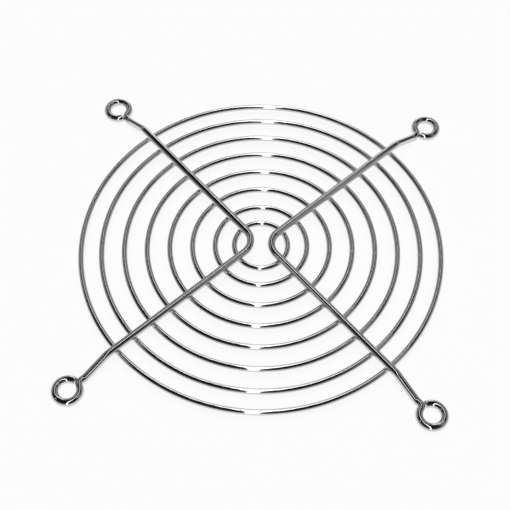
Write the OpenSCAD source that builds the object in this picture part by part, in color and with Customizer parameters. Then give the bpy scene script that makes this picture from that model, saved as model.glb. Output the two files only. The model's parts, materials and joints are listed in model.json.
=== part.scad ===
// Wire finger guard for a 120 mm axial fan.
// Concentric rings of round wire are welded under two bent spoke wires. Outside the rim ring each
// arm of a spoke wire steps down to an eyelet, and the four eyelets take the fan's corner screws.
// Z = 0 is the face of the fan that the eyelets seat on, +Z points away from the fan, and the
// Z axis passes through the middle of the screw pattern.

/* [Fan fixing] */
// Distance between screw centres, the same along X and Y
hole_spacing = 104.8; // [103:0.1:112]
// Finished bore of each eyelet
eyelet_bore = 5.2; // [4.4:0.1:6]

/* [Wire] */
// Diameter of the wire that the rings are made of
ring_wire_d = 1.8; // [1.6:0.05:2.4]
// Diameter of the wire that the spokes are made of
spoke_wire_d = 2.4; // [2:0.05:2.8]
// How far a ring is pressed into the spoke wires by welding
weld_set_down = 0.3; // [0.15:0.05:0.5]

/* [Rings] */
// Number of rings
ring_count = 8; // [6:1:10]
// Centreline radius of the innermost ring
hub_ring_r = 8.3; // [7.8:0.1:10]
// Centreline step from the innermost ring to the next one
hub_step = 6; // [4.5:0.05:7.5]
// Centreline step from the last but one ring to the rim ring
rim_step = 6.4; // [4.5:0.05:7.5]
// How far the outside of the rim ring stays within the reach of the eyelets
rim_inset = 0.4; // [0:0.05:2]

/* [Spoke wires] */
// Distance from the guard's centre to the point where the lines of a wire's two arms cross
arm_line_offset = 1; // [0:0.1:2]
// Centreline radius of the bend that joins the two arms
hub_bend_r = 5.6; // [4:0.1:6.5]
// Height of the arms above the eyelets, centreline to centreline
spoke_rise = 3.75; // [3.2:0.05:6]
// Distance from the rim ring's centreline to the corner where an arm starts down
rim_to_step = 3.25; // [2.5:0.05:4]
// Centreline radius of the two bends in that step
step_bend_r = 3; // [2:0.1:4]
// Distance from the step's lower corner to the start of the neck bend
neck_len = 1.2; // [1:0.1:2.5]
// Centreline radius of the neck bend, which leads the wire into the eyelet
neck_bend_r = 1.7; // [1.5:0.1:2.2]
// Gap between the cut end of an eyelet and its neck
eyelet_end_gap = 0.35; // [0.15:0.05:1]

/* [Forming marks] */
// Depth of the flat that the forming die presses into the underside of the eyelets
seat_flat = 0.15; // [0.05:0.01:0.25]
// Depth of the land that the mandrel leaves round the bore of an eyelet
bore_land = 0.15; // [0.05:0.01:0.25]

/* [Hidden] */
$fn = 64;
plate_colour = [0.62, 0.62, 0.63];
half_spacing = hole_spacing / 2;
eyelet_z = spoke_wire_d / 2 - seat_flat;
arm_z = eyelet_z + spoke_rise;
ring_z = arm_z - (spoke_wire_d + ring_wire_d) / 2 + weld_set_down;

// The rim ring follows the eyelets, and the rings between the two end steps are evenly spaced
eyelet_r = eyelet_bore / 2 - bore_land + spoke_wire_d / 2;
rim_r = half_spacing + eyelet_r + spoke_wire_d / 2 - rim_inset - ring_wire_d / 2;
ring_pitch = (rim_r - rim_step - hub_step - hub_ring_r) / (ring_count - 3);

// Centreline radius of ring i, counted from 1 at the hub
function ring_r(i) =
    i == 1 ? hub_ring_r
    : i < ring_count ? hub_ring_r + hub_step + (i - 2) * ring_pitch
    : rim_r;

// An arm runs from the crossing point of the two arm lines to the centre of its eyelet
arm_angle = atan2(half_spacing, half_spacing - arm_line_offset);
arm_len = norm([half_spacing, half_spacing - arm_line_offset]);
hub_turn = 180 - 2 * arm_angle;
hub_tangent = hub_bend_r * tan(hub_turn / 2);
hub_bend_x = arm_line_offset + hub_bend_r / cos(hub_turn / 2);

// Eyelet: a reverse bend at the neck swings the wire out on to a circle round the screw
neck_reach = neck_bend_r + eyelet_r;
neck_turn = acos(neck_bend_r / neck_reach);
neck_x = arm_len - neck_reach * sin(neck_turn);
end_reach = neck_bend_r + spoke_wire_d / 2 + eyelet_end_gap;
end_angle = acos((pow(eyelet_r, 2) + pow(neck_reach, 2) - pow(end_reach, 2))
                 / (2 * eyelet_r * neck_reach));
eyelet_turn = 360 - end_angle;

// Step: its upper corner stays outside the rim ring, its lower corner inside the neck
step_top_r = rim_r + rim_to_step;
step_top_x = sqrt(pow(step_top_r, 2) - pow(arm_line_offset * sin(arm_angle), 2))
             - arm_line_offset * cos(arm_angle);
step_foot_x = neck_x - neck_len;
step_run = step_foot_x - step_top_x;
step_angle = atan2(spoke_rise, step_run);
step_tangent = step_bend_r * tan(step_angle / 2);

// Forming thickens the wire a little: a bend is this much thicker than straight wire, and an eyelet
// twice as much. Each length of wire runs on into the thicker one by the lap, as one wire does.
bend_swell = 0.01;
wire_lap = 0.05;

// Straight length of spoke wire along +X from the origin, with a lap at both ends
module rod(length) {
    translate([-wire_lap, 0, 0]) rotate([0, 90, 0])
        cylinder(d = spoke_wire_d, h = length + 2 * wire_lap);
}

// Arc of formed wire in the XY plane, centred on the origin, from +X round towards +Y
module arc(radius, turn, wire_d) {
    rotate_extrude(angle = turn) translate([radius, 0]) circle(d = wire_d);
}

// Bend of spoke wire that leaves the origin along +X and turns towards +Y
module bend(radius, turn) {
    translate([0, radius, 0]) rotate([0, 0, -90])
        arc(radius, turn, spoke_wire_d + bend_swell);
}

// Torus of one ring, as deep as it sits in the spoke wires
module ring_hoop(i) {
    translate([0, 0, ring_z])
        rotate_extrude() translate([ring_r(i), 0]) circle(d = ring_wire_d);
}

module ring(i) {
    color(plate_colour) ring_hoop(i);
}

// Eyelet in the wire's own frame, with its neck at the origin and the screw out along +X
module eyelet() {
    bend(neck_bend_r, neck_turn + wire_lap / neck_bend_r * 180 / PI);
    translate([arm_len - neck_x, 0, 0]) rotate([0, 0, 90 + neck_turn - eyelet_turn])
        arc(eyelet_r, eyelet_turn, spoke_wire_d + 2 * bend_swell);
}

// One arm along +X, with the crossing point of the arm lines at the origin
module arm() {
    translate([hub_tangent, 0, 0]) rod(step_top_x - step_tangent - hub_tangent);
    translate([step_top_x - step_tangent, 0, 0])
        rotate([-90, 0, 0]) bend(step_bend_r, step_angle);
    translate([step_top_x, 0, 0]) rotate([0, step_angle, 0]) translate([step_tangent, 0, 0])
        rod(norm([step_run, spoke_rise]) - 2 * step_tangent);
    translate([step_foot_x + step_tangent, 0, -spoke_rise])
        mirror([1, 0, 0]) rotate([90, 0, 0]) bend(step_bend_r, step_angle);
    translate([step_foot_x + step_tangent, 0, -spoke_rise]) rod(neck_len - step_tangent);
    translate([neck_x, 0, -spoke_rise]) eyelet();
}

// Places its children at the arm in the +X +Y quarter and at its mirror image in the +X -Y one
module each_arm() {
    for (side = [0, 1]) mirror([0, side, 0])
        translate([arm_line_offset, 0, arm_z]) rotate([0, 0, arm_angle]) children();
}

// The bent wire before it is pressed: two arms and the bend that joins them at the hub
module bent_wire() {
    each_arm() arm();
    translate([hub_bend_x, 0, arm_z]) rotate([0, 0, 180 - hub_turn / 2])
        arc(hub_bend_r, hub_turn, spoke_wire_d + bend_swell);
}

// What the forming die and the mandrel press away: below the seat and inside the bores
module pressed_away() {
    margin = 1;
    translate([0, -half_spacing - arm_len / 2, -margin])
        cube([half_spacing + arm_len / 2, 2 * half_spacing + arm_len, margin]);
    each_arm() translate([arm_len, 0, -arm_z - margin])
        cylinder(d = eyelet_bore, h = spoke_wire_d + 2 * margin);
}

// Spoke wire on the +X side, with a saddle where each ring is welded under it
module spoke_wire() {
    difference() {
        bent_wire();
        pressed_away();
        for (i = [1:ring_count]) ring_hoop(i);
    }
}

module left_spoke_wire() {
    color(plate_colour) mirror([1, 0, 0]) spoke_wire();
}

module right_spoke_wire() {
    color(plate_colour) spoke_wire();
}

for (i = [1:ring_count]) ring(i);
left_spoke_wire();
right_spoke_wire();
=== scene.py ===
import json
import math

import bpy
import numpy as np
from mathutils import Matrix, Quaternion, Vector


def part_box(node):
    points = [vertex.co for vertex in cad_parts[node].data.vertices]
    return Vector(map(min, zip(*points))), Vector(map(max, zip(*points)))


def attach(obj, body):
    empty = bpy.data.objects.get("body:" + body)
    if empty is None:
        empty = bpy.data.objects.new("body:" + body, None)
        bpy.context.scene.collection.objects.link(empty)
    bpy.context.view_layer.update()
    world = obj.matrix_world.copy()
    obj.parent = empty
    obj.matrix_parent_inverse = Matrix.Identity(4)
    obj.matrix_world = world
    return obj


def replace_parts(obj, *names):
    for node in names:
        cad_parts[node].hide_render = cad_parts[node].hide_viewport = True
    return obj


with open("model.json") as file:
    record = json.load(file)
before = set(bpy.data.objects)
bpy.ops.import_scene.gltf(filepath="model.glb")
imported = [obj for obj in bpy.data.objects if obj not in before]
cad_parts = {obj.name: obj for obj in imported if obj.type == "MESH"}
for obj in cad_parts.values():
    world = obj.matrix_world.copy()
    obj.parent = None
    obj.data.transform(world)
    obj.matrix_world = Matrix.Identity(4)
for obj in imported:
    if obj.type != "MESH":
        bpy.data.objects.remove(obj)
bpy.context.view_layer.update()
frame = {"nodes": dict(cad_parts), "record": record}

MM = 0.001
UP = np.array([0.0, 0.0, 1.0])

# ---------------------------------------------------------------- sizes

# The screw square, from the record
screws = next(m for m in frame["record"]["mounts"] if m["kind"] == "bolt_pattern")["dims"]
HALF_SPACING = screws["spacing_x_mm"] * MM / 2
BORE_R = screws["hole_r_mm"] * MM

# The rings, from their boxes: each is a torus that lies flat
RING_NODES = sorted((n for n in frame["nodes"] if n.startswith("ring_")), key=lambda n: (len(n), n))
ring_boxes = [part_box(n) for n in RING_NODES]
RING_WIRE_R = float(ring_boxes[0][1].z - ring_boxes[0][0].z) / 2
RING_Z = float(ring_boxes[0][1].z + ring_boxes[0][0].z) / 2
RING_RADII = [float(high.x) - RING_WIRE_R for low, high in ring_boxes]

# The two spoke wires: the sizes that their boxes don't give
SPOKE_WIRE_R = 1.2 * MM
ARM_LINE_OFFSET = 1.0 * MM
HUB_BEND_R = 5.6 * MM
RIM_TO_STEP = 3.25 * MM
STEP_BEND_R = 3.0 * MM
NECK_LEN = 1.2 * MM
NECK_BEND_R = 1.7 * MM
EYELET_END_GAP = 0.35 * MM
SEAT_FLAT = 0.15 * MM
BORE_LAND = 0.15 * MM
WELD_SET_DOWN = 0.3 * MM
ARM_Z = RING_Z + RING_WIRE_R + SPOKE_WIRE_R - WELD_SET_DOWN
EYELET_Z = SPOKE_WIRE_R - SEAT_FLAT
EYELET_R = BORE_R - BORE_LAND + SPOKE_WIRE_R

# How finely the surfaces are cut
SIDES = 48
STRAIGHT_STEP = 0.8 * MM
BEND_STEP = 0.2 * MM
END_ROUNDING = 0.2 * MM
END_ROWS = 5

# Weld metal: the smallest and largest ball that its fillet follows, how thick its shell is, and how
# finely it is cut
WELD_BALL = (0.24 * MM, 0.42 * MM)
WELD_SHELL = 0.06 * MM
WELD_ROWS = 64
WELD_SIDES = 9

# ---------------------------------------------------------------- wires


def unit(v):
    """Rows of v, each divided by its length."""
    return v / np.linalg.norm(v, axis=-1, keepdims=True)


def run(length):
    """Straight length of wire."""
    return {"length": length, "step": STRAIGHT_STEP}


def turn(radius, angle):
    """Level bend of that centreline radius, to the left where the angle is positive."""
    return {"radius": radius, "angle": angle, "level": True}


def dip(radius, angle):
    """Upright bend of that centreline radius, downwards where the angle is positive."""
    return {"radius": radius, "angle": angle, "level": False}


def follow(start, heading, moves):
    """Centreline of a bent wire and its headings, as two arrays.

    A straight length is start + s heading. A bend is start + r sin(t) heading + r (1 - cos(t)) inward,
    where inward points from the wire to the middle of the bend, and its heading is
    cos(t) heading + sin(t) inward. Each length starts where the one before it ends.
    """
    place, heading = np.array(start, float), unit(np.array(heading, float))
    points, headings = [], []
    for move in moves:
        if "length" in move:
            rows = math.ceil(move["length"] / move["step"])
            s = np.linspace(0, move["length"], rows + 1)[:, None]
            course, courses = place + s * heading, np.repeat(heading[None], rows + 1, 0)
        else:
            left = unit(np.cross(UP, heading))
            inward = left if move["level"] else -np.cross(heading, left)
            inward = inward * np.sign(move["angle"])
            rows = math.ceil(move["radius"] * abs(move["angle"]) / BEND_STEP)
            t = np.linspace(0, abs(move["angle"]), rows + 1)[:, None]
            across = move["radius"] * (1 - np.cos(t))
            course = place + move["radius"] * np.sin(t) * heading + across * inward
            courses = np.cos(t) * heading + np.sin(t) * inward
        points.append(course[:-1])
        headings.append(courses[:-1])
        place, heading = course[-1], courses[-1]
    return np.vstack(points + [place]), unit(np.vstack(headings + [heading]))


def tube(points, headings, radius, closed):
    """Round wire along a centreline: place(u, v) = point(u) + r (cos(v) left(u) + sin(v) top(u)), where
    left is level and square to the heading, and top is square to both.

    Returns the places on the grid, the faces and the wire's own coordinates at each place: how far
    along the wire it lies, and its two offsets from the middle of the wire.
    """
    radius = np.broadcast_to(radius, len(points))[:, None, None]
    left = unit(np.cross(UP, headings))[:, None]
    top = np.cross(headings, left[:, 0])[:, None]
    v = np.linspace(0, 2 * np.pi, SIDES, endpoint=False)[None, :, None]
    grid = points[:, None] + radius * (np.cos(v) * left + np.sin(v) * top)
    steps = np.linalg.norm(np.diff(points, axis=0), axis=1)
    along = np.broadcast_to(np.r_[0, np.cumsum(steps)][:, None, None], grid.shape[:2] + (1,))
    wire_place = np.concatenate([along, radius * np.cos(v), radius * np.sin(v)], axis=2)
    faces = grid_faces(len(points), SIDES, closed)
    if not closed:
        last = (len(points) - 1) * SIDES
        faces.append(list(range(SIDES))[::-1])
        faces.append(list(range(last, last + SIDES)))
    return grid, faces, wire_place


def grid_faces(rows, sides, closed):
    """Faces of a grid of rows by sides that closes round its sides, and from end to end if asked."""
    i = np.arange(rows if closed else rows - 1)[:, None]
    j = np.arange(sides)[None]
    i_next, j_next = (i + 1) % rows, (j + 1) % sides
    corners = [i * sides + j, i * sides + j_next, i_next * sides + j_next, i_next * sides + j]
    return np.stack(corners, axis=-1).reshape(-1, 4).tolist()


def rounded_ends(points, headings, radius):
    """The centreline and radius of a cut wire whose end edges are rounded: over the rounding e the
    radius is r - e + e cos(t) while the centreline moves on by e sin(t)."""
    t = np.linspace(0, np.pi / 2, END_ROWS)[1:]
    ahead = END_ROUNDING * np.sin(t)[:, None]
    shrunk = radius - END_ROUNDING * (1 - np.cos(t))
    first, last = points[0] - ahead[::-1] * headings[0], points[-1] + ahead * headings[-1]
    ends = np.ones((END_ROWS - 1, 1))
    path = np.vstack([first, points, last])
    course = np.vstack([ends * headings[0], headings, ends * headings[-1]])
    return path, course, np.r_[shrunk[::-1], np.full(len(points), radius), shrunk]


def new_piece(name, places, faces, material, wire_place=None):
    """Makes a smooth mesh piece of the guard, with the given material, that rides with it."""
    mesh = bpy.data.meshes.new(name)
    mesh.from_pydata(places.reshape(-1, 3).tolist(), [], faces)
    mesh.polygons.foreach_set("use_smooth", np.ones(len(faces), bool))
    if wire_place is not None:
        attribute = mesh.attributes.new("wire_place", "FLOAT_VECTOR", "POINT")
        attribute.data.foreach_set("vector", wire_place.astype(np.float32).ravel())
    mesh.materials.append(material)
    mesh.update()
    piece = bpy.data.objects.new(name, mesh)
    bpy.context.scene.collection.objects.link(piece)
    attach(piece, "root")
    return piece


def hoop(number, radius, material):
    """One ring: a circle of wire, butt-welded to itself."""
    rows = math.ceil(2 * np.pi * radius / STRAIGHT_STEP)
    t = np.linspace(0, 2 * np.pi, rows, endpoint=False)[:, None]
    zero = np.zeros_like(t)
    points = np.hstack([radius * np.cos(t), radius * np.sin(t), zero + RING_Z])
    headings = np.hstack([-np.sin(t), np.cos(t), zero])
    places, faces, wire_place = tube(points, headings, RING_WIRE_R, closed=True)
    return new_piece(f"hoop_wire_{number}", places, faces, material, wire_place)


def arm_axis():
    """Where the lines of a wire's two arms cross, and the direction of the arm in the +X +Y quarter."""
    crossing = np.array([ARM_LINE_OFFSET, 0, ARM_Z])
    eyelet = np.array([HALF_SPACING, HALF_SPACING, ARM_Z])
    return crossing, eyelet - crossing


def arm_moves():
    """The straight lengths and bends of one arm, from the top of the hub bend to the eyelet's cut end."""
    _, arm = arm_axis()
    arm_len = np.linalg.norm(arm)
    arm_angle = math.atan2(arm[1], arm[0])
    hub_turn = math.pi / 2 - arm_angle
    rise = ARM_Z - EYELET_Z
    neck_reach = NECK_BEND_R + EYELET_R
    neck_turn = math.acos(NECK_BEND_R / neck_reach)
    neck_x = arm_len - neck_reach * math.sin(neck_turn)
    step_top_r = max(RING_RADII) + RIM_TO_STEP
    off_line = ARM_LINE_OFFSET * math.sin(arm_angle)
    step_top_x = math.sqrt(step_top_r ** 2 - off_line ** 2) - ARM_LINE_OFFSET * math.cos(arm_angle)
    step_run = neck_x - NECK_LEN - step_top_x
    step_angle = math.atan2(rise, step_run)
    step_tangent = STEP_BEND_R * math.tan(step_angle / 2)
    end_reach = NECK_BEND_R + SPOKE_WIRE_R + EYELET_END_GAP
    cosine = (EYELET_R ** 2 + neck_reach ** 2 - end_reach ** 2) / (2 * EYELET_R * neck_reach)
    eyelet_turn = 2 * math.pi - math.acos(cosine)
    return [
        turn(HUB_BEND_R, -hub_turn),
        run(step_top_x - step_tangent - HUB_BEND_R * math.tan(hub_turn)),
        dip(STEP_BEND_R, step_angle),
        run(math.hypot(step_run, rise) - 2 * step_tangent),
        dip(STEP_BEND_R, -step_angle),
        run(NECK_LEN - step_tangent),
        turn(NECK_BEND_R, neck_turn),
        turn(EYELET_R, -eyelet_turn),
    ]


def spoke_wire(name, side, material):
    """One spoke wire, on the +X side for side 1 and on the -X side for side -1: two arms, each the
    other's mirror image, that run from the hub bend down to their eyelets."""
    _, arm = arm_axis()
    hub_x = ARM_LINE_OFFSET + HUB_BEND_R * (np.linalg.norm(arm) / arm[1] - 1)
    upper, upper_headings = follow([hub_x, 0, ARM_Z], [0, 1, 0], arm_moves())
    points = np.vstack([upper[:0:-1] * [1, -1, 1], upper])
    headings = np.vstack([upper_headings[:0:-1] * [-1, 1, -1], upper_headings])
    points, headings, radius = rounded_ends(points, headings, SPOKE_WIRE_R)
    places, faces, wire_place = tube(points, headings, radius, closed=False)
    places = pressed(places)
    if side < 0:
        places = places * [-1, 1, 1]
        faces = [face[::-1] for face in faces]
    return new_piece(name, places, faces, material, wire_place)


def weld_fillet(ring_r, side, end, ball_r):
    """Weld metal round one crossing of a ring and an arm: grid of places for one closed shell.

    A ball of radius p rolls round the crossing and touches both wires. Its middle lies at
    a = sin(t) sqrt(h (2B - h sin(t)^2)) along the ring, b = cos(t) sqrt(h (2A - h cos(t)^2)) along the
    arm and low + h sin(t)^2 in height, where A and B are the ring wire's and the spoke wire's radii
    plus p, low is B below the arm, and h is the height from there to A above the ring's middle. The
    fillet is the ball's arc from its touching point on one wire to that on the other, with a second
    arc just under it that closes the shell.
    """
    reach_ring, reach_arm = RING_WIRE_R + ball_r, SPOKE_WIRE_R + ball_r
    low = ARM_Z - reach_arm
    height = RING_Z + reach_ring - low
    t = np.linspace(0, 2 * np.pi, WELD_ROWS, endpoint=False)
    a = np.sin(t) * np.sqrt(height * (2 * reach_arm - height * np.sin(t) ** 2))
    b = np.cos(t) * np.sqrt(height * (2 * reach_ring - height * np.cos(t) ** 2))
    z = low + height * np.sin(t) ** 2
    zero = np.zeros_like(t)
    to_ring = np.stack([zero, -b, RING_Z - z], axis=-1)[:, None] / reach_ring
    to_arm = np.stack([-a, zero, ARM_Z - z], axis=-1)[:, None] / reach_arm
    apart = np.arccos(np.sum(to_ring * to_arm, axis=-1, keepdims=True))
    s = np.linspace(0, 1, WELD_SIDES)[None, :, None]
    arc = (np.sin((1 - s) * apart) * to_ring + np.sin(s * apart) * to_arm) / np.sin(apart)
    section = np.concatenate([ball_r * arc, (ball_r + WELD_SHELL) * arc[:, ::-1]], axis=1)
    local = np.stack([a, b, z], axis=-1)[:, None] + section
    crossing, arm = arm_axis()
    heading = unit(arm * [1, 1, 0])
    nearest = -np.dot(crossing[:2], heading[:2])
    off_line = np.linalg.norm(crossing[:2] + nearest * heading[:2])
    middle = crossing + (nearest + math.sqrt(ring_r ** 2 - off_line ** 2)) * heading
    mirror = np.array([side, end, 1])
    across = np.array([-heading[1], heading[0], 0])
    places = middle * [1, 1, 0] + local[..., :1] * across + local[..., 1:2] * heading
    places[..., 2] = local[..., 2]
    return places * mirror


def welds(name, side, material):
    """The weld metal of one spoke wire, at each crossing of its two arms with the rings."""
    size = np.random.default_rng(5 + side)
    places, faces = [], []
    for ring_r in RING_RADII:
        for end in (1, -1):
            shell = weld_fillet(ring_r, side, end, size.uniform(*WELD_BALL))
            quads = np.array(grid_faces(WELD_ROWS, 2 * WELD_SIDES, closed=True))
            corner = (shell - shell.mean(axis=(0, 1))).reshape(-1, 3)[quads]
            halves = np.cross(corner[:, 1], corner[:, 2]) + np.cross(corner[:, 2], corner[:, 3])
            if np.sum(corner[:, 0] * halves) < 0:
                quads = quads[:, ::-1]
            faces += (quads + len(places) * shell[..., 0].size).tolist()
            places.append(shell)
    return new_piece(name, np.array(places), faces, material)


def pressed(places):
    """The eyelets as the die and the mandrel leave them: nothing of the wire lies below the seat at
    Z = 0, and nothing lies nearer to a screw's axis than the bore."""
    places = places.copy()
    places[..., 2] = np.maximum(places[..., 2], 0)
    for screw_y in (HALF_SPACING, -HALF_SPACING):
        away = places[..., :2] - [HALF_SPACING, screw_y]
        reach = np.linalg.norm(away, axis=-1, keepdims=True)
        pushed = away * np.maximum(1, BORE_R / np.maximum(reach, 1e-9))
        places[..., :2] = np.where(reach < BORE_R, places[..., :2] - away + pushed, places[..., :2])
    return places


# ---------------------------------------------------------------- materials


def linear(hex_colour):
    """An sRGB hex colour as linear red, green, blue and alpha."""
    parts = [int(hex_colour[i:i + 2], 16) / 255 for i in (1, 3, 5)]
    return [c / 12.92 if c <= 0.04045 else ((c + 0.055) / 1.055) ** 2.4 for c in parts] + [1.0]


def add(tree, kind, settings=None, **sockets):
    """Adds a node to the tree, with its settings and its inputs, each a value or another node's output."""
    node = tree.nodes.new(kind)
    for name, value in (settings or {}).items():
        setattr(node, name, value)
    for name, value in sockets.items():
        socket = node.inputs[int(name[1:])] if name[1:].isdigit() else node.inputs[name.replace("_", " ")]
        if isinstance(value, bpy.types.NodeSocket):
            tree.links.new(value, socket)
        else:
            socket.default_value = value
    return node


def new_material(name):
    """An empty node material and its tree."""
    material = bpy.data.materials.new(name)
    material.use_nodes = True
    material.node_tree.nodes.clear()
    return material, material.node_tree


def scaled(tree, vector, *lengths):
    """The vector in units of those lengths, so that a pattern's grain has that size."""
    factors = tuple(1 / length for length in lengths)
    return add(tree, "ShaderNodeVectorMath", {"operation": "MULTIPLY"}, _0=vector, _1=factors).outputs[0]


def plated_wire():
    """Bright nickel and chrome plate on steel wire that was drawn through a die and then bent."""
    material, tree = new_material("bright_plated_wire")
    place = add(tree, "ShaderNodeAttribute", {"attribute_name": "wire_place"}).outputs["Vector"]
    # Drawing lines: long fine scratches that the plate doesn't quite fill, seen as a soft sheen
    lines = add(tree, "ShaderNodeTexNoise", Vector=scaled(tree, place, 8 * MM, 0.3 * MM, 0.3 * MM),
                Scale=1.0, Detail=2.0).outputs[0]
    sheen = add(tree, "ShaderNodeMapRange", _0=lines, _1=0.3, _2=0.7, _3=0.04, _4=0.08).outputs[0]
    # Straightening and bending leave the wire a little uneven, so that reflections along it waver
    waves = add(tree, "ShaderNodeTexNoise", Vector=scaled(tree, place, 5 * MM, 2 * MM, 2 * MM),
                Scale=1.0, Detail=1.0).outputs[0]
    wavy = add(tree, "ShaderNodeBump", Strength=1.0, Distance=0.05 * MM, Height=waves)
    lined = add(tree, "ShaderNodeBump", Strength=0.3, Distance=0.004 * MM, Height=lines,
                Normal=wavy.outputs[0])
    # The plate is bluish where the chrome is thick and warmer where the nickel shows through
    tint = add(tree, "ShaderNodeMix", {"data_type": "RGBA"}, _0=waves,
               _6=linear("#CDD0D3"), _7=linear("#D2D0CC")).outputs[2]
    shader = add(tree, "ShaderNodeBsdfPrincipled", Base_Color=tint, Metallic=1.0, Roughness=sheen,
                 Normal=lined.outputs[0])
    add(tree, "ShaderNodeOutputMaterial", Surface=shader.outputs["BSDF"])
    return material


def plated_weld():
    """Plate over resistance-weld metal: duller and pebbled where the steel was squeezed out."""
    material, tree = new_material("plated_weld")
    place = add(tree, "ShaderNodeTexCoord").outputs["Object"]
    grain = 0.3 * MM
    pebbles = add(tree, "ShaderNodeTexNoise", Scale=1.0, Detail=2.0,
                  Vector=scaled(tree, place, grain, grain, grain)).outputs[0]
    rough = add(tree, "ShaderNodeMapRange", _0=pebbles, _1=0.3, _2=0.7, _3=0.18, _4=0.32).outputs[0]
    bump = add(tree, "ShaderNodeBump", Strength=0.5, Distance=0.02 * MM, Height=pebbles)
    shader = add(tree, "ShaderNodeBsdfPrincipled", Base_Color=linear("#D6D5D2"), Metallic=1.0,
                 Roughness=rough, Normal=bump.outputs[0])
    add(tree, "ShaderNodeOutputMaterial", Surface=shader.outputs["BSDF"])
    return material


# ---------------------------------------------------------------- the guard

plate = plated_wire()
for number, (node, radius) in enumerate(zip(RING_NODES, RING_RADII), start=1):
    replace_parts(hoop(number, radius, plate), node)
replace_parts(spoke_wire("left_bent_wire", -1, plate), "left_spoke_wire")
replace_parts(spoke_wire("right_bent_wire", 1, plate), "right_spoke_wire")
weld_plate = plated_weld()
welds("left_welds", -1, weld_plate)
welds("right_welds", 1, weld_plate)

# ---------------------------------------------------------------- table, lamps and camera


def white_paper():
    """Matt white paper: plain white to the eye and in the wires, with a faint shadow of the guard."""
    material, tree = new_material("white_paper")
    ray = add(tree, "ShaderNodeLightPath")
    seen = add(tree, "ShaderNodeMath", {"operation": "MAXIMUM"},
               _0=ray.outputs["Is Camera Ray"], _1=ray.outputs["Is Glossy Ray"])
    seen = add(tree, "ShaderNodeMath", {"operation": "MAXIMUM"},
               _0=seen.outputs[0], _1=ray.outputs["Is Transmission Ray"])
    share = add(tree, "ShaderNodeMath", {"operation": "MULTIPLY"}, _0=seen.outputs[0], _1=PAPER_GLOW)
    matt = add(tree, "ShaderNodeBsdfDiffuse", Color=linear("#F8F8F8"))
    glow = add(tree, "ShaderNodeEmission", Color=linear("#FFFFFF"), Strength=1.0)
    mix = add(tree, "ShaderNodeMixShader", _0=share.outputs[0],
              _1=matt.outputs[0], _2=glow.outputs[0])
    add(tree, "ShaderNodeOutputMaterial", Surface=mix.outputs[0])
    return material


def paper(name, half_width, course, material):
    """White paper: a course of (y, z) points, carried along X."""
    y, z = np.array(course, float).T
    x = np.array([-half_width, half_width])
    places = np.stack(np.broadcast_arrays(x[:, None], y[None], z[None]), axis=-1)
    i = np.arange(len(y) - 1)
    faces = np.stack([i, i + len(y), i + len(y) + 1, i + 1], axis=-1).tolist()
    mesh = bpy.data.meshes.new(name)
    mesh.from_pydata(places.reshape(-1, 3).tolist(), [], faces)
    mesh.materials.append(material)
    sheet = bpy.data.objects.new(name, mesh)
    bpy.context.scene.collection.objects.link(sheet)


def strip_lamp(name, start, end, width, radiance):
    """Long lamp between two points that faces the guard, with that plain brightness."""
    start, end = Vector(start), Vector(end)
    length = (end - start).length
    along = (end - start) / length
    middle = (start + end) / 2
    away = (middle - along * middle.dot(along)).normalized()
    light = bpy.data.lights.new(name, "AREA")
    light.shape, light.size, light.size_y = "RECTANGLE", length, width
    light.energy = radiance * math.pi * length * width
    holder = bpy.data.objects.new(name, light)
    holder.matrix_world = Matrix((along, away.cross(along), away)).transposed().to_4x4()
    holder.location = middle
    bpy.context.scene.collection.objects.link(holder)
    return holder


def wall(tree, height, greys):
    """Grey of a wall by height: 0 at eye level, 1 overhead."""
    ramp = add(tree, "ShaderNodeValToRGB", _0=height)
    for place, grey in greys[2:]:
        ramp.color_ramp.elements.new(place)
    for element, (place, grey) in zip(ramp.color_ramp.elements, greys):
        element.position, element.color = place, (grey, grey, grey, 1)
    return ramp.outputs["Color"]


def room():
    """The room round the table. In front, grey walls dim towards a dark ceiling, a little brighter on
    the right. Behind hangs a long white bank. The wires show the ceiling as their dark middle."""
    world = bpy.data.worlds.new("room")
    world.use_nodes = True
    tree = world.node_tree
    tree.nodes.clear()
    where = add(tree, "ShaderNodeTexCoord")
    axes = add(tree, "ShaderNodeSeparateXYZ", _0=where.outputs["Generated"])
    front_wall = wall(tree, axes.outputs["Z"], FRONT_WALL)
    back_wall = wall(tree, axes.outputs["Z"], BACK_WALL)
    # The walls brighten towards the right, and the bank starts a little behind the guard
    right = add(tree, "ShaderNodeMapRange", _0=axes.outputs["X"], _1=0.3, _2=0.9, _3=1.0, _4=1.9)
    behind = add(tree, "ShaderNodeMapRange", _0=axes.outputs["Y"], _1=0.05, _2=0.3)
    front = add(tree, "ShaderNodeBackground", Color=front_wall, Strength=right.outputs[0])
    back = add(tree, "ShaderNodeBackground", Color=back_wall, Strength=1.0)
    both = add(tree, "ShaderNodeMixShader", _0=behind.outputs[0], _1=front.outputs[0],
               _2=back.outputs[0])
    add(tree, "ShaderNodeOutputWorld", Surface=both.outputs[0])
    bpy.context.scene.world = world


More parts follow.
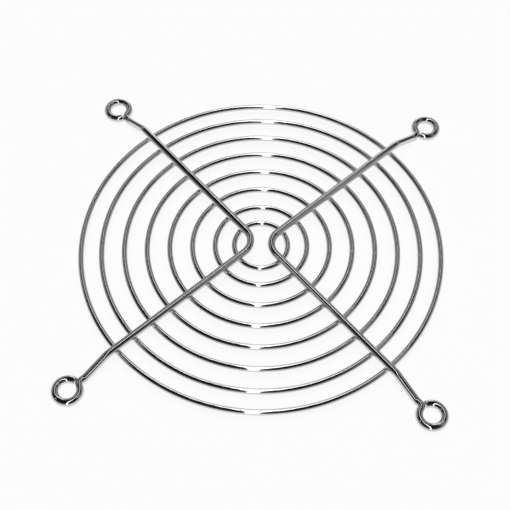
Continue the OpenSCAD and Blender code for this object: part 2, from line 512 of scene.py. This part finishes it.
def camera(aim, azimuth, elevation, distance, roll, lens):
    """Camera that looks at a point from that side and height, tilted a little about its own axis."""
    data = bpy.data.cameras.new("camera")
    data.lens, data.sensor_width = lens, 36
    data.clip_start, data.clip_end = 0.01, 100
    holder = bpy.data.objects.new("camera", data)
    a, e = math.radians(azimuth), math.radians(elevation)
    back = Vector((math.sin(a) * math.cos(e), -math.cos(a) * math.cos(e), math.sin(e)))
    holder.location = Vector(aim) + back * distance
    holder.rotation_mode = "QUATERNION"
    tilt = Quaternion((0, 0, 1), math.radians(roll))
    holder.rotation_quaternion = (-back).to_track_quat("-Z", "Y") @ tilt
    bpy.context.scene.collection.objects.link(holder)
    bpy.context.scene.camera = holder


# How far the paper lies under the eyelets' seats, so that the two never share a plane
PAPER_Z = -0.02 * MM
# Share of the paper's tone that is plain white and takes no shadow
PAPER_GLOW = 0.88
# Greys of the room's walls by height, in front and behind
FRONT_WALL = [(0.0, 0.32), (0.1, 0.25), (0.2, 0.20), (0.3, 0.14), (0.4, 0.10), (0.5, 0.07),
              (0.6, 0.06), (0.75, 0.01)]
BACK_WALL = [(0.0, 0.77), (0.09, 0.70), (0.13, 0.07), (0.30, 0.07), (0.36, 0.39), (0.64, 0.39),
             (0.72, 0.07), (0.8, 0.01)]

table_white = white_paper()
paper("table_paper", 8.0, [(-8.0, PAPER_Z), (8.0, PAPER_Z)], table_white)
paper("back_paper", 0.8, [(3.6, PAPER_Z), (3.6, 3.3)], table_white)
room()
strip_lamp("overhead_strip", (0, 2.8, 3), (0, -3, 3), width=0.33, radiance=2.5)
strip_lamp("front_strip", (0, -3, 3), (0, -4.2, 0), width=0.45, radiance=2.5)
strip_lamp("right_strip", (1.08, 0.45, 3), (4.4, -1.15, 3), width=1.05, radiance=0.3)
strip_lamp("left_strip", (-2.35, -0.5, 3), (-4.65, -1.6, 3), width=0.45, radiance=0.7)
# The fill only lights the paper, so the wires stay as bright as the room makes them
strip_lamp("paper_fill", (-2, 0, 4), (2, 0, 4), width=4, radiance=2.4).visible_glossy = False
camera(aim=(-1.74 * MM, -1.76 * MM, 0), azimuth=3.53, elevation=58.09, distance=318.83 * MM,
       roll=0.61, lens=71.71)

bpy.context.scene.view_settings.view_transform = "Standard"
